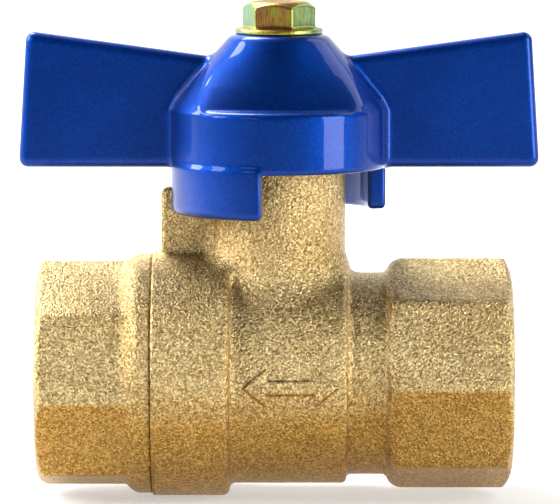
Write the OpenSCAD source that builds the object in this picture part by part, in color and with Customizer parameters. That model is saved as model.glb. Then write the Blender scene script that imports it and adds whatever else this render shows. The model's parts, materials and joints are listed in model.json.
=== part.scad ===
// Full-bore brass ball valve with a two-wing (butterfly) handle and G1/2 female ports.
// X runs along the pipe, Z along the stem, and the origin is where the two axes cross.
// The valve is drawn open: its bore and its wings lie along the pipe.

/* [Pipe ends] */
// Across flats of the octagonal wrench ends
octagon_af = 27; // [26:0.5:28]
// Outer face of the end that belongs to the body
right_face_x = 29.1; // [28:0.1:31]
// Inner face of the body's octagon
right_octagon_x = 14.8; // [14.4:0.1:15.6]
// Outer face of the screwed end cap, as a distance from the stem axis
left_face_x = 30.3; // [29:0.1:32]
// Inner face of the end cap's octagon, as a distance from the stem axis
left_octagon_x = 18.75; // [18:0.05:19.5]
// Turn of the end cap's flats against the body's, in degrees
cap_turn = 8; // [0:1:22]
// Radius of the flat ring on each end face
end_face_r = 12.4; // [12:0.1:13]
// Minor radius of the G1/2 female thread
port_r = 9.3155; // [9.3155]
// Depth of each port
port_depth = 15; // [13:0.5:16]
// Depth of the countersink at each port's mouth
port_chamfer = 1.2; // [0.8:0.1:1.5]

/* [Barrel] */
// Radius of the ring that holds the end cap's thread
bulge_r = 15.3; // [15:0.1:16]
// Joint between the end cap and the body, as a distance from the stem axis
joint_x = 15.78; // [15.4:0.02:16.4]
// Inner end of the bulge, as a distance from the stem axis
bulge_end_x = 7.25; // [7:0.05:7.6]
// Radius of the middle of the body, round the ball
barrel_r = 13.75; // [13.6:0.05:14]
// Right end of the middle of the body
barrel_end_x = 8.4; // [8:0.1:8.8]
// Radius of the waist between the middle and the octagon
waist_r = 12.65; // [12.5:0.05:13]

/* [Neck and stop] */
// Radius of the neck round the stem
neck_r = 8.3; // [8:0.1:8.6]
// Top of the neck, inside the handle
neck_top_z = 26.6; // [26:0.1:27]
// Outer edge of the stop fin, as a distance from the stem axis
fin_x = 14.7; // [14.2:0.1:15]
// Top of the stop fin
fin_top_z = 23.5; // [22.5:0.1:24]
// Thickness of the stop fin
fin_t = 3.1; // [2.6:0.1:3.2]

/* [Water way and ball] */
// Radius of the water way
bore_r = 7.5; // [7:0.1:7.6]
// Radius of the ball
ball_r = 11.5; // [11.5]
// Radius of the cavity round the ball
cavity_r = 12; // [12]
// Outer radius of the seat rings
seat_r = 10.9; // [10.9]
// Bottom of a seat ring's pocket, as a distance from the stem axis
seat_floor_x = 10.4; // [10.4]

/* [Stem] */
// Radius of the stem's shaft
stem_r = 4.25; // [4.25]
// Side of the square that drives the handle
stem_square = 6; // [6]
// Radius of the flange that keeps the stem from blowing out
stem_flange_r = 5.6; // [5.6]
// Height at which the handle sits on the stem
handle_seat_z = 31.2; // [31.2]

/* [Handle] */
// Length over the wing tips, at their lower corners
wing_span = 64.9; // [60:0.1:66]
// Thickness of a wing
wing_t = 3.4; // [3:0.1:4]
// Bottom of the hub's skirt
skirt_bottom_z = 25.8; // [25.8]
// Bottom edge of the wings
wing_bottom_z = 25.95; // [25.9:0.05:26.2]
// Height of a wing's outer upper corner
wing_tip_z = 42.95; // [41:0.05:44]
// Height at which a wing's upper edge meets the hub
wing_root_z = 39.45; // [39:0.05:40.5]
// Radius of the hub's skirt
skirt_r = 13.6; // [13.6:0.05:13.8]
// Inner radius of the skirt
skirt_inner_r = 11.1; // [11:0.05:11.2]
// Height at which the skirt ends and the hub starts to narrow
shoulder_z = 33.4; // [33:0.1:33.8]
// Top of the hub
hub_top_z = 42; // [42]
// Height of the raised pad under the bolt
bolt_pad_h = 0.65; // [0.5:0.05:0.8]
// Bottom of the stop tabs
tab_bottom_z = 20.4; // [20:0.1:21]

/* [Bolt] */
// Across flats of the bolt's head
bolt_af = 8; // [8]
// Radius of the bolt's flange
bolt_flange_r = 5.45; // [5.2:0.05:5.9]
// Turn of the bolt's flats, in degrees
bolt_turn = 50; // [0:1:59]

/* [Hidden] */
$fn = 64;
far = 60;
// How far a cut or a joined solid runs past a face, and the least overlap of two joined solids
over = 1;
skin = 0.01;

brass_colour = [0.72, 0.6, 0.38];
turned_brass_colour = [0.8, 0.68, 0.4];
enamel_colour = [0.03, 0.16, 0.62];
ptfe_colour = [0.94, 0.94, 0.92];
chrome_colour = [0.8, 0.81, 0.83];
rubber_colour = [0.06, 0.06, 0.06];
zinc_colour = [0.74, 0.7, 0.42];

// Pipe ends
octagon_r = octagon_af / 2 / cos(22.5);
end_chamfer = 1;
thread_major_r = 10.4775;
countersink_r = thread_major_r + 0.1;

// Steps of the forging: width of a step, drop at its crest, and the rise to the octagon
step_w = 0.9;
crest_drop = 0.35;
bulge_edge = 0.3;
rise_w = 1.75;
rise_crest = 0.7;
shoulder_drop = 0.8;
shoulder_root = 0.5;
joint_bevel = 0.15;

// Neck taper, fin and flow arrow
taper_base_z = 8;
taper_h = 9;
taper_w = 1.5;
fin_base_z = 10;
fin_corner_r = 1;
arrow_h = 0.4;

// Joint between the end cap and the body
spigot_r = 13.2;
spigot_end_x = 8.65;
thread_gap = 0.02;
spigot_room = 0.05;
thread_bore_r = spigot_r + thread_gap;
seat_bore_r = seat_r + thread_gap;

// Seat rings
seat_face_x = 7.7;
seat_bore_gap = 0.1;

// Stem and its seals, from the ball upwards
slot_w = 5;
slot_bottom_z = 9;
tang_gap = 0.1;
flange_bottom_z = 11.9;
flange_top_z = 13.35;
washer_top_z = 14.4;
washer_gap = 0.05;
washer_bottom_z = flange_top_z + washer_gap;
running_gap = 0.06;
loose_gap = 0.15;
groove_r = 3.1;
groove_w = 1.6;
lower_groove_z = 16.1;
upper_groove_z = 18.5;
o_ring_section_r = 0.58;
packing_r = 6;
packing_floor_z = 19.9;
packing_ring_h = 1.5;
packing_washer_h = 0.6;
packing_top_z = packing_floor_z + 2 * packing_ring_h;
spigot_bottom_z = packing_top_z + packing_washer_h;
gland_hex_af = 17;
gland_hex_h = 4;
gland_bore_r = stem_r + loose_gap;
gland_bevel_h = 0.9;
gland_bevel_w = 1.5;
stem_top_z = 38.4;
stem_top_gap = 0.6;

// Hub
crown_r = skirt_r - 0.25;
hub_face_y = 9.6;
dome_z = 39.4;
dome_r = 8.8;
crown_base_h = 0.4;
hub_top_r = 6.7;
hub_edge_r = 7.6;
hub_edge_h = 1;
slice_h = 0.02;
bolt_pad_r = 5.4;

// Wings and stop tabs
wing_lean = 1.05;
wing_corner_r = 1;
wing_root_x = 6;
tab_inner_r = skirt_inner_r + 0.2;
tab_outer_r = skirt_r - 0.15;
tab_middle = 135.5;
tab_span = 71.5;

// Bolt
bolt_r = 2.5;
bolt_gap = 0.02;
bolt_hole_gap = 0.25;
bolt_length = 12;
bolt_base_z = hub_top_z + bolt_pad_h;
bolt_flange_h = 0.75;
bolt_head_top_z = 46.6;
head_bevel_h = 0.8;
head_bevel_w = 1.1;
tapped_room = 1.5;

// Solid of revolution about the pipe's axis, from points [distance along X, radius]
module turned_along_pipe(points) {
    rotate([0, 90, 0])
        rotate_extrude()
            polygon([for (p = points) [p[1], p[0]]]);
}

// Cylinder along the pipe's axis from one X to another
module pipe_cylinder(from_x, to_x, r1, r2) {
    translate([from_x, 0, 0])
        rotate([0, 90, 0])
            cylinder(h = to_x - from_x, r1 = r1, r2 = r2);
}

// Octagonal bar along the pipe, with a corner towards +Z before it is turned
module octagon_bar(from_x, to_x, turn) {
    translate([from_x, 0, 0])
        rotate([turn, 0, 0])
            rotate([0, 90, 0])
                cylinder(h = to_x - from_x, r = octagon_r, $fn = 8);
}

// Port with its countersink, opening towards +X at face_x
module port(face_x) {
    pipe_cylinder(face_x - port_depth, face_x + over, port_r, port_r);
    pipe_cylinder(face_x - port_chamfer, face_x + skin, port_r, countersink_r);
}

// Seat ring, its round face towards the ball at the origin
module seat_ring() {
    color(ptfe_colour)
        difference() {
            pipe_cylinder(seat_face_x, seat_floor_x, seat_r, seat_r);
            pipe_cylinder(0, far, bore_r + seat_bore_gap, bore_r + seat_bore_gap);
            sphere(r = ball_r + running_gap);
        }
}

// Raised two-way flow arrow, as a flat outline
module flow_arrow() {
    shaft_x = 3.6;
    shaft_h = 0.75;
    head_h = 2.3;
    tip_x = 6.4;
    polygon([[-tip_x, 0], [-shaft_x, head_h], [-shaft_x, shaft_h], [shaft_x, shaft_h], [shaft_x, head_h],
             [tip_x, 0], [shaft_x, -head_h], [shaft_x, -shaft_h], [-shaft_x, -shaft_h], [-shaft_x, -head_h]]);
}

// Outline of the forged barrel and the round envelope of its octagon
module barrel() {
    rise_x = right_octagon_x - rise_w;
    turned_along_pipe([
        [-joint_x, 0], [-joint_x, bulge_r - bulge_edge], [-joint_x + bulge_edge, bulge_r],
        [-bulge_end_x - step_w, bulge_r], [-bulge_end_x, bulge_r - crest_drop],
        [-bulge_end_x + step_w, barrel_r + crest_drop], [-bulge_end_x + 2 * step_w, barrel_r],
        [barrel_end_x - step_w / 2, barrel_r], [barrel_end_x + step_w / 2, barrel_r - crest_drop],
        [barrel_end_x + step_w, waist_r], [rise_x, waist_r], [right_octagon_x, waist_r + step_w],
        [right_octagon_x, 0]]);
    intersection() {
        octagon_bar(rise_x, right_face_x, 0);
        turned_along_pipe([
            [rise_x, 0], [rise_x, waist_r], [right_octagon_x - step_w, octagon_r - rise_crest],
            [right_octagon_x + crest_drop, octagon_r + skin], [right_face_x - end_chamfer, octagon_r + skin],
            [right_face_x, end_face_r], [right_face_x, 0]]);
    }
}

module body() {
    color(brass_colour)
        difference() {
            union() {
                barrel();
                // Neck, with a cast taper where it leaves the barrel
                cylinder(h = neck_top_z, r = neck_r);
                translate([0, 0, taper_base_z])
                    cylinder(h = taper_h, r1 = neck_r + taper_w, r2 = neck_r);
                // Stop fin
                translate([-fin_x, -fin_t / 2, fin_base_z])
                    cube([fin_x, fin_t, fin_top_z - fin_corner_r - fin_base_z]);
                translate([-fin_x + fin_corner_r, -fin_t / 2, fin_base_z])
                    cube([fin_x - fin_corner_r, fin_t, fin_top_z - fin_base_z]);
                translate([-fin_x + fin_corner_r, 0, fin_top_z - fin_corner_r])
                    rotate([90, 0, 0])
                        cylinder(h = fin_t, r = fin_corner_r, center = true);
                // Flow arrow on the front of the barrel
                intersection() {
                    pipe_cylinder(-far, far, barrel_r + arrow_h, barrel_r + arrow_h);
                    rotate([90, 0, 0])
                        linear_extrude(height = far)
                            flow_arrow();
                }
            }
            // Thread for the end cap, ball cavity, seat pocket, water way and port
            pipe_cylinder(-joint_x - over, -spigot_end_x + spigot_room, thread_bore_r, thread_bore_r);
            pipe_cylinder(-spigot_end_x, spigot_end_x, cavity_r, cavity_r);
            pipe_cylinder(0, seat_floor_x, seat_bore_r, seat_bore_r);
            pipe_cylinder(0, right_face_x, bore_r, bore_r);
            port(right_face_x);
            // Stem bore, from the flange's room up to the packing chamber
            cylinder(h = washer_top_z, r = stem_flange_r + loose_gap);
            cylinder(h = far, r = stem_r + running_gap);
            translate([0, 0, packing_floor_z])
                cylinder(h = far, r = packing_r);
        }
}

module end_cap() {
    shoulder_r = bulge_r - bulge_edge;
    color(brass_colour)
        difference() {
            union() {
                // Shoulder that meets the body, and the spigot screwed into it
                turned_along_pipe([
                    [-left_octagon_x - shoulder_root, 0],
                    [-left_octagon_x - shoulder_root, octagon_af / 2 - shoulder_root / 2],
                    [-left_octagon_x, octagon_r - shoulder_drop],
                    [-left_octagon_x + step_w, shoulder_r - crest_drop],
                    [-left_octagon_x + 2 * step_w, shoulder_r],
                    [-joint_x - joint_bevel, shoulder_r], [-joint_x, shoulder_r - joint_bevel],
                    [-joint_x, spigot_r], [-spigot_end_x, spigot_r], [-spigot_end_x, 0]]);
                intersection() {
                    octagon_bar(-left_face_x, -left_octagon_x, cap_turn);
                    turned_along_pipe([
                        [-left_face_x, 0], [-left_face_x, end_face_r],
                        [-left_face_x + end_chamfer, octagon_r + skin],
                        [-left_octagon_x, octagon_r + skin], [-left_octagon_x, 0]]);
                }
            }
            pipe_cylinder(-far, 0, bore_r, bore_r);
            pipe_cylinder(-seat_floor_x, 0, seat_bore_r, seat_bore_r);
            mirror([1, 0, 0])
                port(left_face_x);
        }
}

module seat_ring_left() {
    mirror([1, 0, 0])
        seat_ring();
}

module seat_ring_right() {
    seat_ring();
}

// The slot lies across the bore, so a shut ball can float along the pipe on the stem's tang
module ball() {
    color(chrome_colour)
        difference() {
            sphere(r = ball_r);
            pipe_cylinder(-far, far, bore_r, bore_r);
            translate([-slot_w / 2, -far, slot_bottom_z])
                cube([slot_w, 2 * far, far]);
        }
}

module stem() {
    color(turned_brass_colour)
        difference() {
            union() {
                // Tang in the ball's slot
                intersection() {
                    translate([-slot_w / 2 + tang_gap, -far, slot_bottom_z + tang_gap])
                        cube([slot_w - 2 * tang_gap, 2 * far, flange_bottom_z - slot_bottom_z]);
                    cylinder(h = far, r = stem_r);
                }
                translate([0, 0, flange_bottom_z])
                    cylinder(h = flange_top_z - flange_bottom_z, r = stem_flange_r);
                translate([0, 0, flange_bottom_z])
                    cylinder(h = handle_seat_z - flange_bottom_z, r = stem_r);
                translate([-stem_square / 2, -stem_square / 2, handle_seat_z - over])
                    cube([stem_square, stem_square, stem_top_z - handle_seat_z + over]);
            }
            for (z = [lower_groove_z, upper_groove_z])
                translate([0, 0, z - groove_w / 2])
                    difference() {
                        cylinder(h = groove_w, r = stem_r + over);
                        cylinder(h = groove_w, r = groove_r);
                    }
            // Tapped hole for the handle's bolt
            translate([0, 0, bolt_base_z - bolt_length - tapped_room])
                cylinder(h = far, r = bolt_r + bolt_gap);
        }
}

// Flat ring round the stem
module stem_ring(z, h, inner_r, outer_r) {
    translate([0, 0, z])
        difference() {
            cylinder(h = h, r = outer_r);
            translate([0, 0, -over])
                cylinder(h = h + 2 * over, r = inner_r);
        }
}

module stem_thrust_washer() {
    color(ptfe_colour)
        stem_ring(washer_bottom_z, washer_top_z - washer_bottom_z, stem_r + running_gap, stem_flange_r);
}

module stem_o_ring(z) {
    color(rubber_colour)
        translate([0, 0, z])
            rotate_extrude()
                translate([groove_r + o_ring_section_r, 0])
                    circle(r = o_ring_section_r, $fn = 32);
}

module stem_o_ring_lower() {
    stem_o_ring(lower_groove_z);
}

module stem_o_ring_upper() {
    stem_o_ring(upper_groove_z);
}

module packing_ring(level) {
    color(ptfe_colour)
        stem_ring(packing_floor_z + level * packing_ring_h, packing_ring_h, stem_r + running_gap, packing_r);
}

module packing_ring_lower() {
    packing_ring(0);
}

module packing_ring_upper() {
    packing_ring(1);
}

module packing_washer() {
    color(turned_brass_colour)
        stem_ring(packing_top_z, packing_washer_h, gland_bore_r, packing_r);
}

// Hollow hexagon nut, screwed into the neck to squeeze the packing
module gland_nut() {
    hex_r = gland_hex_af / 2 / cos(30);
    color(turned_brass_colour)
        difference() {
            union() {
                translate([0, 0, spigot_bottom_z])
                    cylinder(h = neck_top_z - spigot_bottom_z + over, r = packing_r);
                translate([0, 0, neck_top_z])
                    intersection() {
                        cylinder(h = gland_hex_h, r = hex_r, $fn = 6);
                        union() {
                            cylinder(h = gland_hex_h - gland_bevel_h, r = hex_r + skin);
                            translate([0, 0, gland_hex_h - gland_bevel_h])
                                cylinder(h = gland_bevel_h, r1 = hex_r + skin, r2 = hex_r - gland_bevel_w);
                        }
                    }
            }
            cylinder(h = far, r = gland_bore_r);
        }
}

// Hub above its shoulder: flattened front and back, rounder towards the top
module hub_crown() {
    hull() {
        translate([0, 0, shoulder_z - crown_base_h])
            linear_extrude(height = crown_base_h)
                intersection() {
                    circle(r = crown_r, $fn = 48);
                    square([2 * far, 2 * hub_face_y], center = true);
                }
        translate([0, 0, dome_z])
            cylinder(h = slice_h, r = dome_r, $fn = 48);
        translate([0, 0, hub_top_z - hub_edge_h])
            cylinder(h = slice_h, r = hub_edge_r, $fn = 48);
        translate([0, 0, hub_top_z - slice_h])
            cylinder(h = slice_h, r = hub_top_r, $fn = 48);
    }
}

// Outline of both wings in the XZ plane, with rounded outer corners
module wing_outline() {
    lower_x = wing_span / 2 - wing_corner_r;
    upper_x = lower_x - wing_lean;
    for (side = [-1, 1])
        hull() {
            translate([side * lower_x, wing_bottom_z + wing_corner_r])
                circle(r = wing_corner_r, $fn = 32);
            translate([side * upper_x, wing_tip_z - wing_corner_r])
                circle(r = wing_corner_r, $fn = 32);
            translate([side * wing_root_x, wing_bottom_z])
                square([skin, wing_root_z - wing_bottom_z]);
        }
}

// Stop tab hanging from the skirt, with its middle at the given angle
module stop_tab(middle) {
    translate([0, 0, tab_bottom_z])
        rotate([0, 0, middle - tab_span / 2])
            rotate_extrude(angle = tab_span)
                translate([tab_inner_r, 0])
                    square([tab_outer_r - tab_inner_r, skirt_bottom_z - tab_bottom_z + over]);
}

module handle() {
    color(enamel_colour)
        difference() {
            union() {
                translate([0, 0, skirt_bottom_z])
                    cylinder(h = shoulder_z - skirt_bottom_z, r = skirt_r);
                hub_crown();
                translate([0, 0, hub_top_z - over])
                    cylinder(h = bolt_pad_h + over, r = bolt_pad_r);
                rotate([90, 0, 0])
                    linear_extrude(height = wing_t, center = true)
                        wing_outline();
                stop_tab(-tab_middle);
                stop_tab(180 - tab_middle);
            }
            // Room inside the hub for the gland nut, up to the face that sits on the stem
            translate([0, 0, skirt_bottom_z - over])
                cylinder(h = handle_seat_z - skirt_bottom_z + over, r = skirt_inner_r);
            translate([-stem_square / 2 - bolt_gap, -stem_square / 2 - bolt_gap, 0])
                cube([stem_square + 2 * bolt_gap, stem_square + 2 * bolt_gap, stem_top_z + stem_top_gap]);
            cylinder(h = far, r = bolt_r + bolt_hole_gap);
        }
}

module handle_bolt() {
    hex_r = bolt_af / 2 / cos(30);
    hex_base_z = bolt_base_z + bolt_flange_h;
    crown_h = bolt_head_top_z - hex_base_z;
    color(zinc_colour) {
        translate([0, 0, bolt_base_z - bolt_length])
            cylinder(h = bolt_length + skin, r = bolt_r);
        translate([0, 0, bolt_base_z])
            cylinder(h = bolt_flange_h, r = bolt_flange_r);
        translate([0, 0, hex_base_z])
            rotate([0, 0, bolt_turn])
                intersection() {
                    cylinder(h = crown_h, r = hex_r, $fn = 6);
                    union() {
                        cylinder(h = crown_h - head_bevel_h, r = hex_r + skin);
                        translate([0, 0, crown_h - head_bevel_h])
                            cylinder(h = head_bevel_h, r1 = hex_r + skin, r2 = hex_r - head_bevel_w);
                    }
                }
    }
}

body();
end_cap();
seat_ring_left();
seat_ring_right();
ball();
stem();
stem_thrust_washer();
stem_o_ring_lower();
stem_o_ring_upper();
packing_ring_lower();
packing_ring_upper();
packing_washer();
gland_nut();
handle();
handle_bolt();
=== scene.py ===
"""Looks of the brass ball valve.

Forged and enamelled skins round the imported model, their materials, the light and the camera.
"""

import json
import math

import bpy
import numpy as np
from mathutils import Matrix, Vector


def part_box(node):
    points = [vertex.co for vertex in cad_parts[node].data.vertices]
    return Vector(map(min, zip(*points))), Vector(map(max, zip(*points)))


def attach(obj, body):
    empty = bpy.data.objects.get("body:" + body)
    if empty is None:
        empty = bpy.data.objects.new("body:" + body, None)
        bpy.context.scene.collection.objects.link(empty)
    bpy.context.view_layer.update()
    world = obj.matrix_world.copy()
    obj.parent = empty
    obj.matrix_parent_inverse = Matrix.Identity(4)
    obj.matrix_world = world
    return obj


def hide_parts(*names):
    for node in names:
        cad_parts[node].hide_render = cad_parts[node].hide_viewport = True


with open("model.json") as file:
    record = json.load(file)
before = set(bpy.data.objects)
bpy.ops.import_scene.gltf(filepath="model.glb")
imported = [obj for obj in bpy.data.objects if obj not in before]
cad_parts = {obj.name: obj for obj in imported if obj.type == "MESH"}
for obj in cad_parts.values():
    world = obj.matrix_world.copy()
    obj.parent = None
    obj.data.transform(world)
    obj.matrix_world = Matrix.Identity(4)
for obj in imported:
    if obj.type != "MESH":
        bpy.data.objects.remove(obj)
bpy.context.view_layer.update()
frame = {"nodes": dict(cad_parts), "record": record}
record = frame["record"]

# ---------------------------------------------------------------- dimensions, in millimetres

MM = 0.001


def corners(node):
    """Lowest and highest corner of a CAD node, in millimetres."""
    low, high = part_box(node)
    return low / MM, high / MM


body_low, body_high = corners("body")
cap_low, cap_high = corners("end_cap")
handle_low, handle_high = corners("handle")
bolt_low, bolt_high = corners("handle_bolt")
packing_low, packing_high = corners("packing_ring_lower")
stem_high = corners("stem")[1]
flange_washer_high = corners("stem_thrust_washer")[1]
seat_high = corners("seat_ring_right")[1]
port_mount = next(m for m in record["mounts"] if m["name"] == "port_right")

# Pipe ends
OCTAGON_AF = 27.0
OCTAGON_CORNER = 1.4
RIGHT_FACE_X = body_high.x
LEFT_FACE_X = cap_low.x
RIGHT_OCTAGON_X = 14.8
LEFT_OCTAGON_X = -18.75
CAP_TURN = 8.0
END_FACE_R = 12.4
END_CHAMFER = 1.0
COUNTERSINK = 1.2
PORT_R = port_mount["dims"]["r_mm"]
PORT_DEPTH = 15.0
THREAD_PITCH = 1.8143
THREAD_DEPTH = 1.162
THREAD_MAJOR_R = PORT_R + THREAD_DEPTH

# Barrel
JOINT_X = body_low.x
SPIGOT_END_X = cap_high.x
SPIGOT_R = 13.2
THREAD_GAP = 0.02
BULGE_R = body_high.y
BULGE_END_X = -6.15
SHOULDER_R = BULGE_R - 0.3
BARREL_R = 13.75
BARREL_END_X = 8.4
WAIST_R = 12.65
WAIST_END_X = RIGHT_OCTAGON_X - 1.75
WAIST_RISE = 1.95
WAIST_RISE_X = RIGHT_OCTAGON_X - 0.5
SHOULDER_FOOT_X = LEFT_OCTAGON_X - 0.7
SHOULDER_FOOT_R = 13.2
SHOULDER_TOP_X = LEFT_OCTAGON_X + 0.5
STEP_EDGE = 0.9
MACHINED_EDGE = 0.12
BORE_R = 7.5
CAVITY_R = 12.0
SEAT_R = seat_high.y + THREAD_GAP
SEAT_FLOOR_X = seat_high.x

# Two-way flow arrow on the barrel: its middle, the half lengths to its tip and shaft end, and its half widths
ARROW_X = 1.4
ARROW_TIP = 5.7
ARROW_SHAFT = 3.1
ARROW_HEAD = 2.1
ARROW_BAR = 0.75
ARROW_PROUD = 0.4

# Neck and stop fin
NECK_R = 8.3
NECK_TOP_Z = body_high.z
FIN_X = -14.7
FIN_TOP_Z = 23.5
FIN_T = 3.1
FIN_ROOT_Z = 8
FIN_ROOT_X = -5
NECK_FILLET = 2.0
STEM_BORE_R = 4.31
FLANGE_ROOM_R = flange_washer_high.x + 0.15
FLANGE_ROOM_TOP_Z = flange_washer_high.z
PACKING_FLOOR_Z = packing_low.z
PACKING_R = packing_high.x

# Handle
WING_T = 3.4
WING_TIP_X = handle_high.x
WING_BOTTOM_Z = 25.95
WING_TIP_Z = handle_high.z
WING_ROOT_Z = 39.45
WING_LEAN = 1.05
SKIRT_R = handle_high.y - 0.2
SKIRT_INNER_R = 11.1
SKIRT_BOTTOM_Z = 26.0
SHOULDER_Z = 33.6
CROWN_FRONT_Y = 10.0
HUB_TOP_Z = 42.5
HUB_TOP_R = 6.2
# Heights above the shoulder, and how strongly the crown's front is curved there, in 1/mm
CROWN_RISES = (0, 2.76, 5.44, 8.75)
CROWN_CURVATURES = (0.0147, 0.050, 0.095, 0.158)
# Evens out the crown front's field, whose slope is over 1
CROWN_LEAN = 0.92
BOLT_PAD_R = 5.4
TAB_BOTTOM_Z = handle_low.z
TAB_INNER_R = SKIRT_INNER_R + 0.2
TAB_OUTER_R = handle_high.y
TAB_TOP_Z = 27.0
TAB_MIDDLE = 44.5
TAB_SPAN = 71.5
ROOM_TOP_Z = 31.2
SQUARE = 6.04

# Bolt
BOLT_AF = 8.0
BOLT_TURN = -10.0
BOLT_BASE_Z = 42.65
BOLT_FLANGE_H = 0.75
BOLT_FLANGE_R = bolt_high.x
BOLT_TOP_Z = bolt_high.z
BOLT_END_Z = bolt_low.z
BOLT_R = 2.5
BOLT_PITCH = 0.8
BOLT_THREAD_DEPTH = 0.43
BOLT_CHAMFER_H = 0.78
BOLT_CHAMFER_R = 1.15
DISH_R = 2.7
DISH_DEPTH = 0.3

# Depth of skin that counts as machined, beside a cut and on an end face
CUT_SKIN = 0.06
FACE_SKIN = 0.15

# Grid cells of the meshes, and the planes of the grid worked out at a time
BODY_CELL = 0.365
CAP_CELL = 0.34
ARROW_CELL = 0.15
HANDLE_CELL = 0.3
BOLT_CELL = 0.13
SLAB = 16

# ---------------------------------------------------------------- distance fields
# A field gives the signed distance from points to a surface, below zero inside it.


def meet(*fields):
    """What is inside all of the fields."""
    return np.maximum.reduce(np.broadcast_arrays(*fields))


def join(a, b, fillet=0.0):
    """Both shapes, with a fillet of the given radius where they meet."""
    if fillet == 0:
        return np.minimum(a, b)
    corner = np.hypot(np.maximum(fillet - a, 0), np.maximum(fillet - b, 0))
    return np.maximum(fillet, np.minimum(a, b)) - corner


def trim(a, b, edge=0.0):
    """What is inside both shapes, its new edge rounded to the given radius."""
    return -join(-a, -b, edge)


def cut(a, b, edge=0.0):
    """Shape a without shape b."""
    return trim(a, -b, edge)


def swept(outline, across, edge):
    """An outline's field and the distance past its end planes, as one solid with rounded edges."""
    a = outline + edge
    b = across + edge
    return np.minimum(np.maximum(a, b), 0) + np.hypot(np.maximum(a, 0), np.maximum(b, 0)) - edge


def drum(along, radius, start, end, drum_r, edge):
    """Round disc about an axis, from start to end along it."""
    across = abs(along - (start + end) / 2) - (end - start) / 2
    return swept(radius - drum_r, across, edge)


def regular(u, v, sides, across_flats, turn, edge):
    """Regular polygon whose first face looks along turn, in degrees from u towards v."""
    half = math.pi / sides
    angle = np.arctan2(v, u) - math.radians(turn)
    angle = (angle + half) % (2 * half) - half
    radius = np.hypot(u, v)
    apothem = across_flats / 2 - edge
    out = radius * np.cos(angle) - apothem
    past = abs(radius * np.sin(angle)) - apothem * math.tan(half)
    return np.where(past > 0, np.hypot(out, past), out) - edge


def bevel(along, radius, a, b):
    """Half space beyond the line through a and b, as (along, radius) points, with the outside on the left."""
    run = b[0] - a[0]
    rise = b[1] - a[1]
    return ((radius - a[1]) * run - (along - a[0]) * rise) / math.hypot(run, rise)


def thread(along, turn, radius, minor_r, depth, pitch, crest=0.2):
    """Screw surface: its radius runs between minor_r and minor_r + depth once a pitch."""
    phase = abs((along / pitch - turn / (2 * math.pi)) % 1.0 - 0.5) * 2
    wave = np.clip((phase - crest) / (1 - 2 * crest), 0, 1)
    wave = wave * wave * (3 - 2 * wave)
    return radius - (minor_r + depth * wave)


def outline_field(u, v, points):
    """Distance to a closed outline of straight edges."""
    u, v = np.broadcast_arrays(u, v)
    nearest = np.full(u.shape, 1e9)
    inside = np.zeros(u.shape, bool)
    for (au, av), (bu, bv) in zip(points, points[1:] + points[:1]):
        eu, ev = bu - au, bv - av
        t = np.clip(((u - au) * eu + (v - av) * ev) / (eu * eu + ev * ev), 0, 1)
        nearest = np.minimum(nearest, np.hypot(u - au - t * eu, v - av - t * ev))
        crosses = (av > v) != (bv > v)
        if ev:
            inside ^= crosses & (u < au + (v - av) * eu / ev)
    return np.where(inside, -nearest, nearest)


# ---------------------------------------------------------------- meshes from fields


def surface_net(field, low, high, cell):
    """Vertices and quads of a field's zero surface on a grid of the given cell, outward facing."""
    low = np.array(low, float) - 2.37 * cell
    count = np.ceil((np.array(high, float) + 2 * cell - low) / cell).astype(int) + 1
    axes = [low[i] + cell * np.arange(count[i]) for i in range(3)]
    value = np.empty(count, np.float32)
    y = axes[1][None, :, None]
    z = axes[2][None, None, :]
    for i in range(0, count[0], SLAB):
        value[i : i + SLAB] = field(axes[0][i : i + SLAB, None, None], y, z)
    inside = value < 0
    strides = np.array([count[1] * count[2], count[2], 1])
    total = int(count.prod())
    sums = np.zeros((total, 3))
    hits = np.zeros(total)
    faces = []
    for axis in range(3):
        first = [slice(None)] * 3
        second = [slice(None)] * 3
        first[axis] = slice(0, -1)
        second[axis] = slice(1, None)
        start = np.argwhere(inside[tuple(first)] != inside[tuple(second)])
        begin = value[tuple(start.T)]
        finish = value[tuple((start + np.eye(3, dtype=int)[axis]).T)]
        point = start.astype(float)
        point[:, axis] += begin / (begin - finish)
        side_a, side_b = strides[(axis + 1) % 3], strides[(axis + 2) % 3]
        cell_id = start @ strides
        ring = np.stack([cell_id - side_a - side_b, cell_id - side_b, cell_id, cell_id - side_a], 1)
        for column in ring.T:
            hits += np.bincount(column, minlength=total)
            for k in range(3):
                sums[:, k] += np.bincount(column, point[:, k], minlength=total)
        inward = finish < begin
        ring[inward] = ring[inward][:, ::-1]
        faces.append(ring)
    faces = np.concatenate(faces)
    used = np.flatnonzero(hits)
    index = np.full(total, -1)
    index[used] = np.arange(len(used))
    return low + cell * sums[used] / hits[used, None], index[faces]


def slope(field, points, step=0.01):
    """Field and its gradient at points."""
    x, y, z = points.T
    gradient = np.stack(
        [
            field(x + step, y, z) - field(x - step, y, z),
            field(x, y + step, z) - field(x, y - step, z),
            field(x, y, z + step) - field(x, y, z - step),
        ],
        1,
    ) / (2 * step)
    return field(x, y, z), gradient


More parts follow.
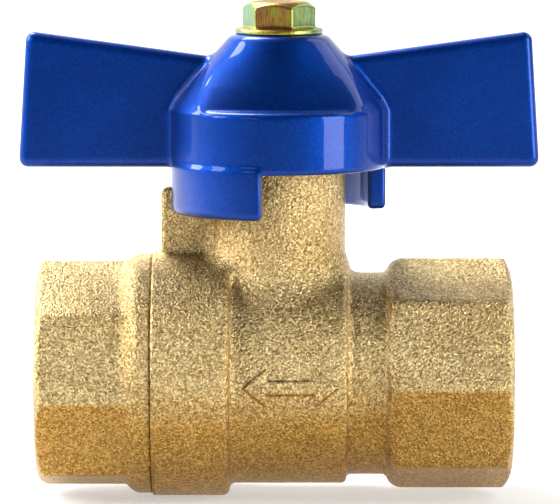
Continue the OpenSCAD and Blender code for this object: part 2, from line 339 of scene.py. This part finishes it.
def settle(field, points, faces, cell, rounds=4):
    """Draws vertices onto the surface, evening out their spacing along it."""
    edges = np.concatenate([faces[:, [0, 1]], faces[:, [1, 2]], faces[:, [2, 3]], faces[:, [3, 0]]])
    edges = np.unique(np.sort(edges, 1), axis=0)
    ends = np.concatenate([edges, edges[:, ::-1]])
    degree = np.bincount(ends[:, 0], minlength=len(points))
    for turn in range(rounds + 2):
        value, gradient = slope(field, points)
        squared = np.maximum((gradient**2).sum(1), 0.05)
        move = -(value / squared)[:, None] * gradient
        length = np.linalg.norm(move, axis=1)
        points = points + move * np.minimum(1, 0.5 * cell / np.maximum(length, 1e-9))[:, None]
        if turn < rounds:
            sums = [np.bincount(ends[:, 0], points[ends[:, 1], k], len(points)) for k in range(3)]
            pull = np.stack(sums, 1) / degree[:, None] - points
            normal = gradient / np.sqrt(squared)[:, None]
            pull -= (pull * normal).sum(1)[:, None] * normal
            points = points + 0.5 * pull
    return points


def field_piece(name, field, low, high, cell, region=None, materials=()):
    """New mesh object round a field, with faces given to materials by region(x, y, z) at their middles."""
    points, faces = surface_net(field, low, high, cell)
    points = settle(field, points, faces, cell)
    points = np.clip(points, np.array(low, float), np.array(high, float))
    mesh = bpy.data.meshes.new(name)
    mesh.vertices.add(len(points))
    mesh.vertices.foreach_set("co", (points * MM).astype(np.float32).ravel())
    mesh.loops.add(faces.size)
    mesh.loops.foreach_set("vertex_index", faces.ravel().astype(np.int32))
    mesh.polygons.add(len(faces))
    mesh.polygons.foreach_set("loop_start", np.arange(0, faces.size, 4, dtype=np.int32))
    mesh.polygons.foreach_set("loop_total", np.full(len(faces), 4, np.int32))
    mesh.polygons.foreach_set("use_smooth", np.ones(len(faces), bool))
    for m in materials:
        mesh.materials.append(m)
    if region is not None:
        middle = points[faces].mean(1)
        mesh.polygons.foreach_set("material_index", region(*middle.T).astype(np.int32))
    mesh.update(calc_edges=True)
    mesh.validate()
    piece = bpy.data.objects.new(name, mesh)
    bpy.context.scene.collection.objects.link(piece)
    print(name, len(points), "vertices", len(faces), "quads")
    return piece


# ---------------------------------------------------------------- body and end cap


def end_octagon(x, y, z, inner_x, face_x, turn):
    """Octagonal wrench end from inner_x to its chamfered outer face, along +X or -X."""
    outwards = 1 if face_x > inner_x else -1
    radius = np.hypot(y, z)
    flats = regular(y, z, 8, OCTAGON_AF, 22.5 + turn, OCTAGON_CORNER)
    across = abs(x - (inner_x + face_x) / 2) - abs(face_x - inner_x) / 2
    bar = swept(flats, across, 0.3)
    along = outwards * x
    face = outwards * face_x
    corner_r = OCTAGON_AF / 2 / math.cos(math.pi / 8)
    return trim(bar, bevel(along, radius, (face - END_CHAMFER, corner_r), (face, END_FACE_R)), 0.3)


def port_cut(x, y, z, face_x):
    """Tapped port: thread, run-out and countersink."""
    outwards = 1 if face_x > 0 else -1
    along = outwards * x
    face = outwards * face_x
    radius = np.hypot(y, z)
    turn = outwards * np.arctan2(z, y)
    screw = thread(along, turn, radius, PORT_R, THREAD_DEPTH, THREAD_PITCH)
    fade = np.clip((along - (face - PORT_DEPTH)) / (2 * THREAD_PITCH), 0, 1)
    wall = radius - PORT_R
    hole = wall + (screw - wall) * fade
    hole = meet(hole, face - PORT_DEPTH - along)
    sink = bevel(along, radius, (face - COUNTERSINK, PORT_R), (face, THREAD_MAJOR_R + 0.1))
    return join(hole, meet(sink, face - 3 - along))


def body_shape(x, y, z):
    """Outside of the forged body."""
    radius = np.hypot(y, z)
    bulge = drum(x, radius, JOINT_X - 3, BULGE_END_X, BULGE_R, STEP_EDGE)
    barrel = drum(x, radius, JOINT_X + 2, BARREL_END_X, BARREL_R, 0.6)
    waist = drum(x, radius, JOINT_X + 2, RIGHT_OCTAGON_X + 1, WAIST_R, 0.1)
    end = end_octagon(x, y, z, WAIST_END_X, RIGHT_FACE_X, 0)
    rise = bevel(x, radius, (WAIST_END_X, WAIST_R), (WAIST_RISE_X, WAIST_R + WAIST_RISE))
    end = trim(end, rise, STEP_EDGE)
    pipe = join(join(join(bulge, barrel, 0.7), waist, 0.6), end, 0.6)
    neck = drum(z, np.hypot(x, y), 0, NECK_TOP_Z, NECK_R, 0.3)
    outside = join(pipe, neck, NECK_FILLET)
    fin_outline = swept(FIN_X - x, z - FIN_TOP_Z, 1.0)
    fin = swept(meet(fin_outline, x - FIN_ROOT_X, FIN_ROOT_Z - z), abs(y) - FIN_T / 2, 0.4)
    outside = join(outside, fin, 0.9)
    return trim(outside, JOINT_X - x, 0.1)


def body_cuts(x, y, z):
    """Everything that is machined out of the body."""
    radius = np.hypot(y, z)
    stem_radius = np.hypot(x, y)
    spigot_r = SPIGOT_R + THREAD_GAP
    room = meet(radius - spigot_r, x - SPIGOT_END_X - 0.05)
    room = join(room, meet(radius - CAVITY_R, abs(x) + SPIGOT_END_X))
    room = join(room, meet(radius - SEAT_R, -x, x - SEAT_FLOOR_X))
    room = join(room, meet(radius - BORE_R, -x))
    room = join(room, port_cut(x, y, z, RIGHT_FACE_X))
    room = join(room, meet(stem_radius - FLANGE_ROOM_R, -z, z - FLANGE_ROOM_TOP_Z))
    room = join(room, meet(stem_radius - STEM_BORE_R, -z))
    return join(room, meet(stem_radius - PACKING_R, PACKING_FLOOR_Z - z))


def body_field(x, y, z):
    """The forged body with everything machined out of it."""
    return cut(body_shape(x, y, z), body_cuts(x, y, z), MACHINED_EDGE)


def cap_shape(x, y, z):
    """Outside of the screwed end cap."""
    radius = np.hypot(y, z)
    end = end_octagon(x, y, z, LEFT_OCTAGON_X + 1.2, LEFT_FACE_X, CAP_TURN)
    shoulder = drum(x, radius, LEFT_OCTAGON_X - 1.2, JOINT_X + 3, SHOULDER_R, 0.1)
    rise = bevel(x, radius, (SHOULDER_FOOT_X, SHOULDER_FOOT_R), (SHOULDER_TOP_X, SHOULDER_R))
    shoulder = trim(shoulder, rise, 0.8)
    shoulder = trim(shoulder, x - JOINT_X, 0.08)
    spigot = drum(x, radius, LEFT_OCTAGON_X, SPIGOT_END_X, SPIGOT_R, 0.3)
    return join(join(end, shoulder, 0.8), spigot)


def cap_cuts(x, y, z):
    """Everything that is machined out of the end cap."""
    radius = np.hypot(y, z)
    room = meet(radius - BORE_R, x)
    room = join(room, meet(radius - SEAT_R, x, -SEAT_FLOOR_X - x))
    return join(room, port_cut(x, y, z, LEFT_FACE_X))


def cap_field(x, y, z):
    """The screwed end cap with everything machined out of it."""
    return cut(cap_shape(x, y, z), cap_cuts(x, y, z), MACHINED_EDGE)


def turned_region(shape_cuts, face_x):
    """1 where a face was cut on a lathe: bores, threads and the end face."""

    def region(x, y, z):
        outwards = 1 if face_x > 0 else -1
        near_cut = shape_cuts(x, y, z) > -CUT_SKIN
        past = outwards * (x - face_x)
        return near_cut & (np.hypot(y, z) < END_FACE_R) | (past > -FACE_SKIN)

    return region


# ---------------------------------------------------------------- raised marks on the casting


def flow_arrow_field(x, y, z):
    """Two-way flow arrow, raised on the front of the barrel."""
    half = [
        (ARROW_SHAFT, -ARROW_BAR),
        (ARROW_SHAFT, -ARROW_HEAD),
        (ARROW_TIP, 0.0),
        (ARROW_SHAFT, ARROW_HEAD),
        (ARROW_SHAFT, ARROW_BAR),
    ]
    outline = half + [(-u, -v) for u, v in half]
    flat = outline_field(x - ARROW_X, z, outline) - 0.1
    radius = np.hypot(y, z)
    proud = trim(flat, radius - BARREL_R - ARROW_PROUD, 0.25)
    skin = join(proud, radius - BARREL_R + 0.02, 0.3)
    return meet(skin, flat - 0.32, BARREL_R - 0.5 - radius, y)


# ---------------------------------------------------------------- handle


def wing_field(x, y, z):
    """Both wings, as one plate with rounded rims."""
    away = abs(x)
    lean = bevel(z, away, (WING_BOTTOM_Z, WING_TIP_X), (WING_TIP_Z, WING_TIP_X - WING_LEAN))
    top = bevel(away, z, (6, WING_ROOT_Z), (WING_TIP_X - WING_LEAN, WING_TIP_Z))
    outline = trim(trim(WING_BOTTOM_Z - z, lean, 1.2), top, 1.2)
    half_t = WING_T / 2 - 0.25 * away / WING_TIP_X
    return swept(outline, abs(y) - half_t, 1.05)


def hub_field(x, y, z):
    """Hub: round skirt, and a crown whose front goes from nearly flat below to round at the bolt."""
    radius = np.hypot(x, y)
    rise = z - SHOULDER_Z
    cone = bevel(z, radius, (SHOULDER_Z, SKIRT_R), (HUB_TOP_Z, HUB_TOP_R))
    front_y = CROWN_FRONT_Y - (CROWN_FRONT_Y - HUB_TOP_R) * rise / (HUB_TOP_Z - SHOULDER_Z)
    bow_r = 1 / np.interp(rise, CROWN_RISES, CROWN_CURVATURES)
    front = (np.hypot(x, abs(y) - front_y + bow_r) - bow_r) * CROWN_LEAN
    crown = trim(trim(cone, front, 0.4), z - HUB_TOP_Z, 0.6)
    upper = join(crown, z - SHOULDER_Z, 0.25)
    return trim(trim(radius - SKIRT_R, upper, 0.7), SKIRT_BOTTOM_Z - z, 0.4)


def tab_field(x, y, z):
    """The two stop tabs that hang from the skirt."""
    half = math.radians(TAB_SPAN / 2)
    middle = math.radians(TAB_MIDDLE)
    along = x * math.cos(middle) + y * math.sin(middle)
    side = abs(y * math.cos(middle) - x * math.sin(middle))
    wedge = side * math.cos(half) - abs(along) * math.sin(half)
    radius = np.hypot(x, y)
    ring = abs(radius - (TAB_INNER_R + TAB_OUTER_R) / 2) - (TAB_OUTER_R - TAB_INNER_R) / 2
    plan = swept(ring, wedge, 0.5)
    return swept(plan, meet(TAB_BOTTOM_Z - z, z - TAB_TOP_Z), 0.7)


def handle_field(x, y, z):
    """Die-cast handle: hub, wings, tabs and bolt pad, hollow below and pierced for stem and bolt."""
    radius = np.hypot(x, y)
    shape = join(hub_field(x, y, z), wing_field(x, y, z), 0.8)
    shape = join(shape, tab_field(x, y, z), 0.2)
    pad = drum(z, radius, HUB_TOP_Z - 2, BOLT_BASE_Z, BOLT_PAD_R, 0.2)
    shape = join(shape, pad, 0.3)
    room = drum(z, radius, SKIRT_BOTTOM_Z - 5, ROOM_TOP_Z, SKIRT_INNER_R, 0.5)
    square = meet(abs(x) - SQUARE / 2, abs(y) - SQUARE / 2, z - stem_high.z - 0.6, 25 - z)
    hole = meet(radius - BOLT_R - 0.25, 25 - z)
    return cut(shape, join(room, join(square, hole)), 0.25)


# ---------------------------------------------------------------- bolt


def bolt_field(x, y, z):
    """Hexagon flange bolt, with chamfered crown, dished top and M5 thread."""
    radius = np.hypot(x, y)
    hex_base_z = BOLT_BASE_Z + BOLT_FLANGE_H
    flats = regular(x, y, 6, BOLT_AF, BOLT_TURN + 30, 0.18)
    head = swept(flats, abs(z - (BOLT_TOP_Z + BOLT_BASE_Z) / 2) - (BOLT_TOP_Z - BOLT_BASE_Z) / 2, 0.15)
    corner_r = BOLT_AF / 2 / math.cos(math.pi / 6)
    chamfer_start = (BOLT_TOP_Z - BOLT_CHAMFER_H, corner_r)
    head = trim(head, bevel(z, radius, chamfer_start, (BOLT_TOP_Z, corner_r - BOLT_CHAMFER_R)), 0.15)
    dish = meet(radius - DISH_R, BOLT_TOP_Z - DISH_DEPTH + 0.04 * radius**2 - z)
    head = cut(head, dish, 0.25)
    flange = drum(z, radius, BOLT_BASE_Z, hex_base_z + 0.4, BOLT_FLANGE_R, 0.15)
    slant = bevel(radius, z, (BOLT_FLANGE_R - 1.2, hex_base_z + 0.1), (BOLT_FLANGE_R, hex_base_z - 0.2))
    flange = trim(flange, slant, 0.12)
    shank = drum(z, radius, BOLT_END_Z, BOLT_BASE_Z + 1, BOLT_R, 0.4)
    minor = BOLT_R - BOLT_THREAD_DEPTH
    screw = thread(z, np.arctan2(y, x), radius, minor, BOLT_THREAD_DEPTH, BOLT_PITCH)
    shank = meet(shank, np.where(z < BOLT_BASE_Z - 1.5, screw, -1))
    return join(join(head, flange, 0.25), shank, 0.15)


# ---------------------------------------------------------------- materials


class Nodes:
    """Small helper for building one material's node tree, with coordinates in millimetres."""

    def __init__(self, name):
        self.material = bpy.data.materials.new(name)
        self.material.use_nodes = True
        self.tree = self.material.node_tree
        self.shader = self.tree.nodes["Principled BSDF"]
        coordinates = self.tree.nodes.new("ShaderNodeTexCoord")
        self.normal = coordinates.outputs["Normal"]
        scale = self.add("ShaderNodeVectorMath", operation="SCALE")
        scale.inputs["Scale"].default_value = 1 / MM
        self.link(coordinates.outputs["Object"], scale.inputs[0])
        self.place = scale.outputs[0]

    def facing(self, axis):
        """How far a face looks along an axis of the part, -1 to 1."""
        node = self.add("ShaderNodeSeparateXYZ")
        self.link(self.normal, node.inputs[0])
        return node.outputs[axis]

    def along(self, axis):
        """Place along an axis of the part, in millimetres."""
        node = self.add("ShaderNodeSeparateXYZ")
        self.link(self.place, node.inputs[0])
        return node.outputs[axis]

    def add(self, kind, **settings):
        """New node with its settings."""
        node = self.tree.nodes.new(kind)
        for key, value in settings.items():
            setattr(node, key, value)
        return node

    def link(self, source, target):
        """Joins an output to an input."""
        self.tree.links.new(source, target)

    def value(self, source, target):
        """Feeds a socket with a number or another socket."""
        if isinstance(source, (int, float, tuple)):
            target.default_value = source
        else:
            self.link(source, target)

    def stretched(self, x=1.0, y=1.0, z=1.0):
        """Place scaled along each axis, for grain that runs one way."""
        node = self.add("ShaderNodeVectorMath", operation="MULTIPLY")
        self.link(self.place, node.inputs[0])
        node.inputs[1].default_value = (x, y, z)
        return node.outputs[0]

    def noise(self, scale, detail=2.0, rough=0.5, place=None, seed=0.0):
        """Noise of so many waves a millimetre."""
        node = self.add("ShaderNodeTexNoise", noise_dimensions="4D")
        self.link(place or self.place, node.inputs["Vector"])
        node.inputs["W"].default_value = seed
        node.inputs["Scale"].default_value = scale
        node.inputs["Detail"].default_value = detail
        node.inputs["Roughness"].default_value = rough
        return node.outputs["Fac"]

    def cells(self, scale, output="Distance", place=None):
        """Small cells, so many a millimetre."""
        node = self.add("ShaderNodeTexVoronoi")
        self.link(place or self.place, node.inputs["Vector"])
        node.inputs["Scale"].default_value = scale
        return node.outputs[output]

    def math(self, operation, a, b=0.0):
        """One operation on two numbers or sockets."""
        node = self.add("ShaderNodeMath", operation=operation)
        self.value(a, node.inputs[0])
        self.value(b, node.inputs[1])
        return node.outputs[0]

    def between(self, source, low, high, from_low=0.0, from_high=1.0):
        """A value moved from one range to another."""
        node = self.add("ShaderNodeMapRange")
        self.link(source, node.inputs["Value"])
        numbers = {"From Min": from_low, "From Max": from_high, "To Min": low, "To Max": high}
        for key, number in numbers.items():
            node.inputs[key].default_value = number
        return node.outputs["Result"]

    def ramp(self, source, *stops):
        """Colours at stops along a value."""
        node = self.add("ShaderNodeValToRGB")
        self.link(source, node.inputs["Fac"])
        bar = node.color_ramp.elements
        while len(bar) < len(stops):
            bar.new(0.5)
        for element, (position, colour) in zip(bar, stops):
            element.position = position
            element.color = (*colour, 1)
        return node.outputs["Color"]

    def blend(self, fac, a, b, mode="MIX"):
        """Two colours mixed by a number or socket."""
        node = self.add("ShaderNodeMix", data_type="RGBA", blend_type=mode)
        self.value(fac, node.inputs["Factor"])
        for source, socket in ((a, node.inputs[6]), (b, node.inputs[7])):
            self.value((*source, 1) if isinstance(source, tuple) else source, socket)
        return node.outputs[2]

    def bump(self, height, depth_mm, strength=1.0, under=None):
        """Bump of a depth in millimetres, over another bump."""
        node = self.add("ShaderNodeBump")
        self.link(height, node.inputs["Height"])
        node.inputs["Distance"].default_value = depth_mm * MM
        node.inputs["Strength"].default_value = strength
        if under is not None:
            self.link(under, node.inputs["Normal"])
        return node.outputs["Normal"]

    def finish(self, colour, roughness, normal=None, constants=None):
        """Feeds the shader, sets its constant sockets and gives the material."""
        self.link(colour, self.shader.inputs["Base Color"])
        self.link(roughness, self.shader.inputs["Roughness"])
        if normal is not None:
            self.link(normal, self.shader.inputs["Normal"])
        for key, number in (constants or {}).items():
            self.shader.inputs[key].default_value = number
        return self.material


def forged_brass():
    """Shot-blasted forging: grain with painted glints, paler on upward faces and a darker orange-brown on
    downward ones as painted light and shade.
    """
    n = Nodes("forged_brass")
    grain = n.noise(3.5, 2.0, 0.65)
    pits = n.cells(3.0)
    stain = n.noise(0.16, 3.0, 0.55, seed=2.0)
    # Lit and shaded copies of the brass colour, each with the real stain tone: pale for upward faces, darker
    # orange-brown for downward ones
    lit_copy_pale = n.ramp(stain, (0.3, (0.71, 0.52, 0.23)), (0.5, (0.80, 0.605, 0.29)), (0.72, (0.87, 0.68, 0.345)))
    shaded_copy_warm = n.ramp(stain, (0.3, (0.58, 0.33, 0.08)), (0.7, (0.67, 0.40, 0.108)))
    # Painted light and shade: upward faces take the pale copy, downward faces the darker orange-brown copy
    colour = n.blend(n.between(n.facing("Z"), 0.0, 1.0, -0.35, 0.05), shaded_copy_warm, lit_copy_pale)
    # Painted glints: bright and dark specks in the colour stand in for grains of the blasted surface catching
    # the light
    speckle = n.cells(4.8, "Color")
    painted_glint = n.ramp(speckle, (0.1, (0.30, 0.26, 0.21)), (0.5, (0.60, 0.58, 0.54)), (0.85, (1.0, 1.0, 1.0)))
    colour = n.blend(1.0, colour, painted_glint, "MULTIPLY")
    rough = n.between(n.noise(5.0, 2.0, 0.6, seed=1.0), 0.26, 0.42, 0.3, 0.7)
    normal = n.bump(pits, 0.10, 0.7)
    normal = n.bump(grain, 0.26, 1.0, under=normal)
    return n.finish(colour, rough, normal, {"Metallic": 1.0})


def turned_brass():
    """Machined brass: fine turning marks and a little tarnish."""
    n = Nodes("turned_brass")
    marks = n.noise(1.0, 2.0, 0.6, place=n.stretched(9.0, 9.0, 9.0))
    lines = n.noise(1.0, 1.0, 0.5, place=n.stretched(14.0, 0.6, 0.6), seed=1.0)
    tarnish = n.noise(0.3, 2.0, 0.5, seed=4.0)
    colour = n.ramp(tarnish, (0.3, (0.70, 0.50, 0.22)), (0.7, (0.83, 0.64, 0.32)))
    rough = n.between(marks, 0.16, 0.34)
    return n.finish(colour, rough, n.bump(lines, 0.02, 0.5), {"Metallic": 1.0})


def blue_enamel():
    """Deep metallic blue enamel under a clear gloss, with a fine sparkle and a slight orange peel."""
    n = Nodes("blue_enamel")
    peel = n.noise(0.9, 2.0, 0.4)
    flake = n.cells(4.5, "Color")
    pool = n.noise(0.12, 2.0, 0.5, seed=3.0)
    colour = n.ramp(pool, (0.3, (0.001, 0.036, 0.25)), (0.7, (0.002, 0.047, 0.31)))
    spark = n.ramp(flake, (0.2, (0.72, 0.72, 0.76)), (0.8, (1.0, 1.0, 1.0)))
    colour = n.blend(1.0, colour, spark, "MULTIPLY")
    rough = n.between(n.noise(6.0, 2.0, 0.5, seed=5.0), 0.48, 0.58)
    normal = n.bump(peel, 0.02, 0.3)
    gloss = {"Metallic": 1.0, "Coat Weight": 1.0, "Coat IOR": 1.25, "Coat Roughness": 0.05}
    return n.finish(colour, rough, normal, gloss)


def zinc_plate():
    """Yellow-passivated zinc: a painted iridescent sheen turns it from amber to green as a face looks further
    along X, over real patches of film.
    """
    n = Nodes("zinc_plate")
    film = n.noise(0.8, 3.0, 0.6, place=n.stretched(1.0, 1.0, 0.35), seed=1.0)
    # Painted iridescent sheen: the hue follows how far a face looks sideways, added to the film's real
    # patches
    sideways = n.math("ABSOLUTE", n.facing("X"))
    film_and_painted_sheen = n.math("ADD", n.math("MULTIPLY", film, 0.75), n.math("MULTIPLY", sideways, 0.5))
    colour = n.ramp(
        film_and_painted_sheen,
        (0.30, (0.42, 0.24, 0.07)),
        (0.42, (0.46, 0.22, 0.08)),
        (0.52, (0.44, 0.37, 0.05)),
        (0.70, (0.34, 0.45, 0.15)),
        (0.90, (0.26, 0.44, 0.29)),
    )
    streak = n.noise(1.0, 2.0, 0.6, place=n.stretched(7.0, 7.0, 0.7), seed=2.0)
    scratch = n.ramp(streak, (0.35, (0.35, 0.32, 0.28)), (0.5, (0.85, 0.85, 0.8)), (0.65, (1.0, 1.0, 0.95)))
    colour = n.blend(0.9, colour, scratch, "MULTIPLY")
    rough = n.between(streak, 0.30, 0.46)
    return n.finish(colour, rough, n.bump(streak, 0.02, 0.6), {"Metallic": 1.0})


def ptfe():
    """White PTFE with the faint rings of its machining."""
    n = Nodes("ptfe")
    cloud = n.noise(0.5, 2.0, 0.5)
    colour = n.ramp(cloud, (0.3, (0.84, 0.84, 0.82)), (0.7, (0.92, 0.92, 0.91)))
    marks = n.noise(1.0, 2.0, 0.5, place=n.stretched(8.0, 1.0, 8.0))
    rough = n.between(marks, 0.38, 0.55)
    wax = {"Subsurface Weight": 0.15, "Subsurface Scale": 0.001}
    return n.finish(colour, rough, n.bump(marks, 0.01, 0.4), wax)


def chromed_ball():
    """Polished chrome with hairline polishing marks."""
    n = Nodes("chromed_ball")
    lines = n.noise(1.0, 2.0, 0.6, place=n.stretched(12.0, 0.7, 0.7))
    cloud = n.noise(0.3, 1.0, 0.5)
    colour = n.ramp(cloud, (0.3, (0.60, 0.61, 0.63)), (0.7, (0.70, 0.71, 0.73)))
    rough = n.between(lines, 0.05, 0.16)
    return n.finish(colour, rough, n.bump(lines, 0.004, 0.4), {"Metallic": 1.0})


def seal_rubber():
    """Matt black rubber with a dusty bloom."""
    n = Nodes("seal_rubber")
    bloom = n.noise(2.5, 3.0, 0.6)
    colour = n.ramp(bloom, (0.35, (0.012, 0.012, 0.013)), (0.75, (0.035, 0.035, 0.036)))
    rough = n.between(bloom, 0.5, 0.7)
    return n.finish(colour, rough, n.bump(bloom, 0.01, 0.5))


makers = (forged_brass, turned_brass, blue_enamel, zinc_plate, ptfe, chromed_ball, seal_rubber)
finishes = {maker.__name__: maker() for maker in makers}

for row in record["subparts"]:
    cad_object = frame["nodes"][row["node"]]
    cad_object.data.materials.clear()
    cad_object.data.materials.append(finishes[row["material_slot"]])

# ---------------------------------------------------------------- pieces

COARSE = 1.0
brass_pair = (finishes["forged_brass"], finishes["turned_brass"])


def stand_in(piece, node, body_name):
    """Puts a piece on its body, in place of a CAD node where there is one."""
    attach(piece, body_name)
    if node:
        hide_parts(node)


body_piece = field_piece(
    "forged_body",
    body_field,
    body_low,
    body_high,
    BODY_CELL * COARSE,
    turned_region(body_cuts, RIGHT_FACE_X),
    brass_pair,
)
stand_in(body_piece, "body", "valve_body")

cap_piece = field_piece(
    "forged_end_cap",
    cap_field,
    cap_low,
    cap_high,
    CAP_CELL * COARSE,
    turned_region(cap_cuts, LEFT_FACE_X),
    brass_pair,
)
stand_in(cap_piece, "end_cap", "valve_body")

arrow_piece = field_piece(
    "raised_flow_arrow",
    flow_arrow_field,
    (ARROW_X - ARROW_TIP - 0.6, -BARREL_R - ARROW_PROUD, -3.2),
    (ARROW_X + ARROW_TIP + 0.6, -BARREL_R + 1.2, 3.2),
    ARROW_CELL * COARSE,
    materials=brass_pair[:1],
)
stand_in(arrow_piece, None, "valve_body")

handle_piece = field_piece(
    "enamelled_handle",
    handle_field,
    handle_low,
    handle_high,
    HANDLE_CELL * COARSE,
    materials=(finishes["blue_enamel"],),
)
stand_in(handle_piece, "handle", "handle_and_stem")

bolt_piece = field_piece(
    "flange_bolt",
    bolt_field,
    bolt_low,
    bolt_high,
    BOLT_CELL * COARSE,
    materials=(finishes["zinc_plate"],),
)
stand_in(bolt_piece, "handle_bolt", "handle_and_stem")

# ---------------------------------------------------------------- floor, lights and camera


# The floor's own painted glow by place along Y, in millimetres: the paper emits light, dimmer on the camera's
# side
GLOW = ((-300.0, 0.14), (-80.0, 0.42), (20.0, 0.45), (120.0, 1.15))

# Name, place, width and height in metres, and power in watts
SOFT_BOXES = (
    ("left", (-0.36, 0.06, 0.20), 0.12, 0.26, 2.0),
    ("side_left", (-0.34, -0.13, 0.17), 0.10, 0.16, 0.6),
    ("front_left", (-0.256, -0.41, 0.165), 0.14, 0.09, 0.12),
    ("right", (0.303, -0.175, 0.098), 0.16, 0.23, 1.2),
    ("right_high", (0.33, 0.15, 0.36), 0.24, 0.24, 0.5),
    ("overhead_left", (-0.20, 0.25, 0.51), 0.26, 0.24, 4.4),
)


def floor_and_backdrop():
    """Pale sweep: a floor just under the valve that curves up far behind it."""
    level = body_low.z * MM - 0.0002
    front, bend, rise = -1.6, 1.6, 0.9
    profile = [(front, level), (bend, level)]
    profile += [
        (bend + rise * math.sin(a), level + rise * (1 - math.cos(a)))
        for a in (math.radians(5 * i) for i in range(1, 19))
    ]
    profile.append((bend + rise, level + rise + 1.6))
    width = 3.0
    verts = [(side * width, y, z) for y, z in profile for side in (-1, 1)]
    faces = [(2 * i, 2 * i + 1, 2 * i + 3, 2 * i + 2) for i in range(len(profile) - 1)]
    mesh = bpy.data.meshes.new("studio_sweep")
    mesh.from_pydata(verts, [], faces)
    mesh.polygons.foreach_set("use_smooth", [True] * len(faces))
    # The paper carries a painted glow: emitted light graded along Y, dim in front of the valve, brighter
    # under it and brightest behind
    paper = Nodes("pale_paper")
    fibre = paper.noise(0.4, 2.0, 0.5)
    colour = paper.ramp(fibre, (0.3, (0.58, 0.58, 0.58)), (0.7, (0.62, 0.62, 0.62)))
    reach = GLOW[-1][0] - GLOW[0][0]
    place = paper.between(paper.along("Y"), 0.0, 1.0, GLOW[0][0], GLOW[-1][0])
    stops = [((y - GLOW[0][0]) / reach, (light / GLOW[-1][1],) * 3) for y, light in GLOW]
    glow = paper.math("MULTIPLY", paper.ramp(place, *stops), GLOW[-1][1])
    paper.link(glow, paper.shader.inputs["Emission Strength"])
    white_glow = {"Emission Color": (1, 1, 1, 1)}
    mesh.materials.append(paper.finish(colour, paper.between(fibre, 0.8, 0.9), None, white_glow))
    sweep = bpy.data.objects.new("studio_sweep", mesh)
    bpy.context.scene.collection.objects.link(sweep)


def soft_box(name, place, target, width, height, watts):
    """Rectangular area light facing a target, in metres."""
    light = bpy.data.lights.new(name, "AREA")
    light.shape = "RECTANGLE"
    light.size = width
    light.size_y = height
    light.energy = watts
    lamp = bpy.data.objects.new(name, light)
    lamp.location = place
    lamp.rotation_euler = (Vector(target) - Vector(place)).to_track_quat("-Z", "Y").to_euler()
    bpy.context.scene.collection.objects.link(lamp)


def studio():
    """Dim white surroundings, and soft boxes to the left, to the right and overhead."""
    world = bpy.data.worlds.new("studio")
    world.use_nodes = True
    background = world.node_tree.nodes["Background"]
    background.inputs["Color"].default_value = (1, 1, 1, 1)
    background.inputs["Strength"].default_value = 0.08
    bpy.context.scene.world = world
    bpy.context.scene.view_settings.view_transform = "Standard"
    middle = (0, 0, 0.015)
    for name, place, width, height, watts in SOFT_BOXES:
        soft_box(name, place, middle, width, height, watts)


def camera():
    """Camera a little above the handle, looking down slightly on the middle of the valve."""
    distance = 0.55
    elevation = math.radians(6.3)
    target = Vector((0.12, 0, 15.25)) * MM
    data = bpy.data.cameras.new("camera")
    data.sensor_width = 36
    data.lens = 282.86
    data.clip_start = 0.01
    data.clip_end = 20
    eye = bpy.data.objects.new("camera", data)
    back = Vector((0, -math.cos(elevation), math.sin(elevation)))
    eye.location = target + distance * back
    eye.rotation_euler = (-back).to_track_quat("-Z", "Y").to_euler()
    bpy.context.scene.collection.objects.link(eye)
    bpy.context.scene.camera = eye


floor_and_backdrop()
studio()
camera()
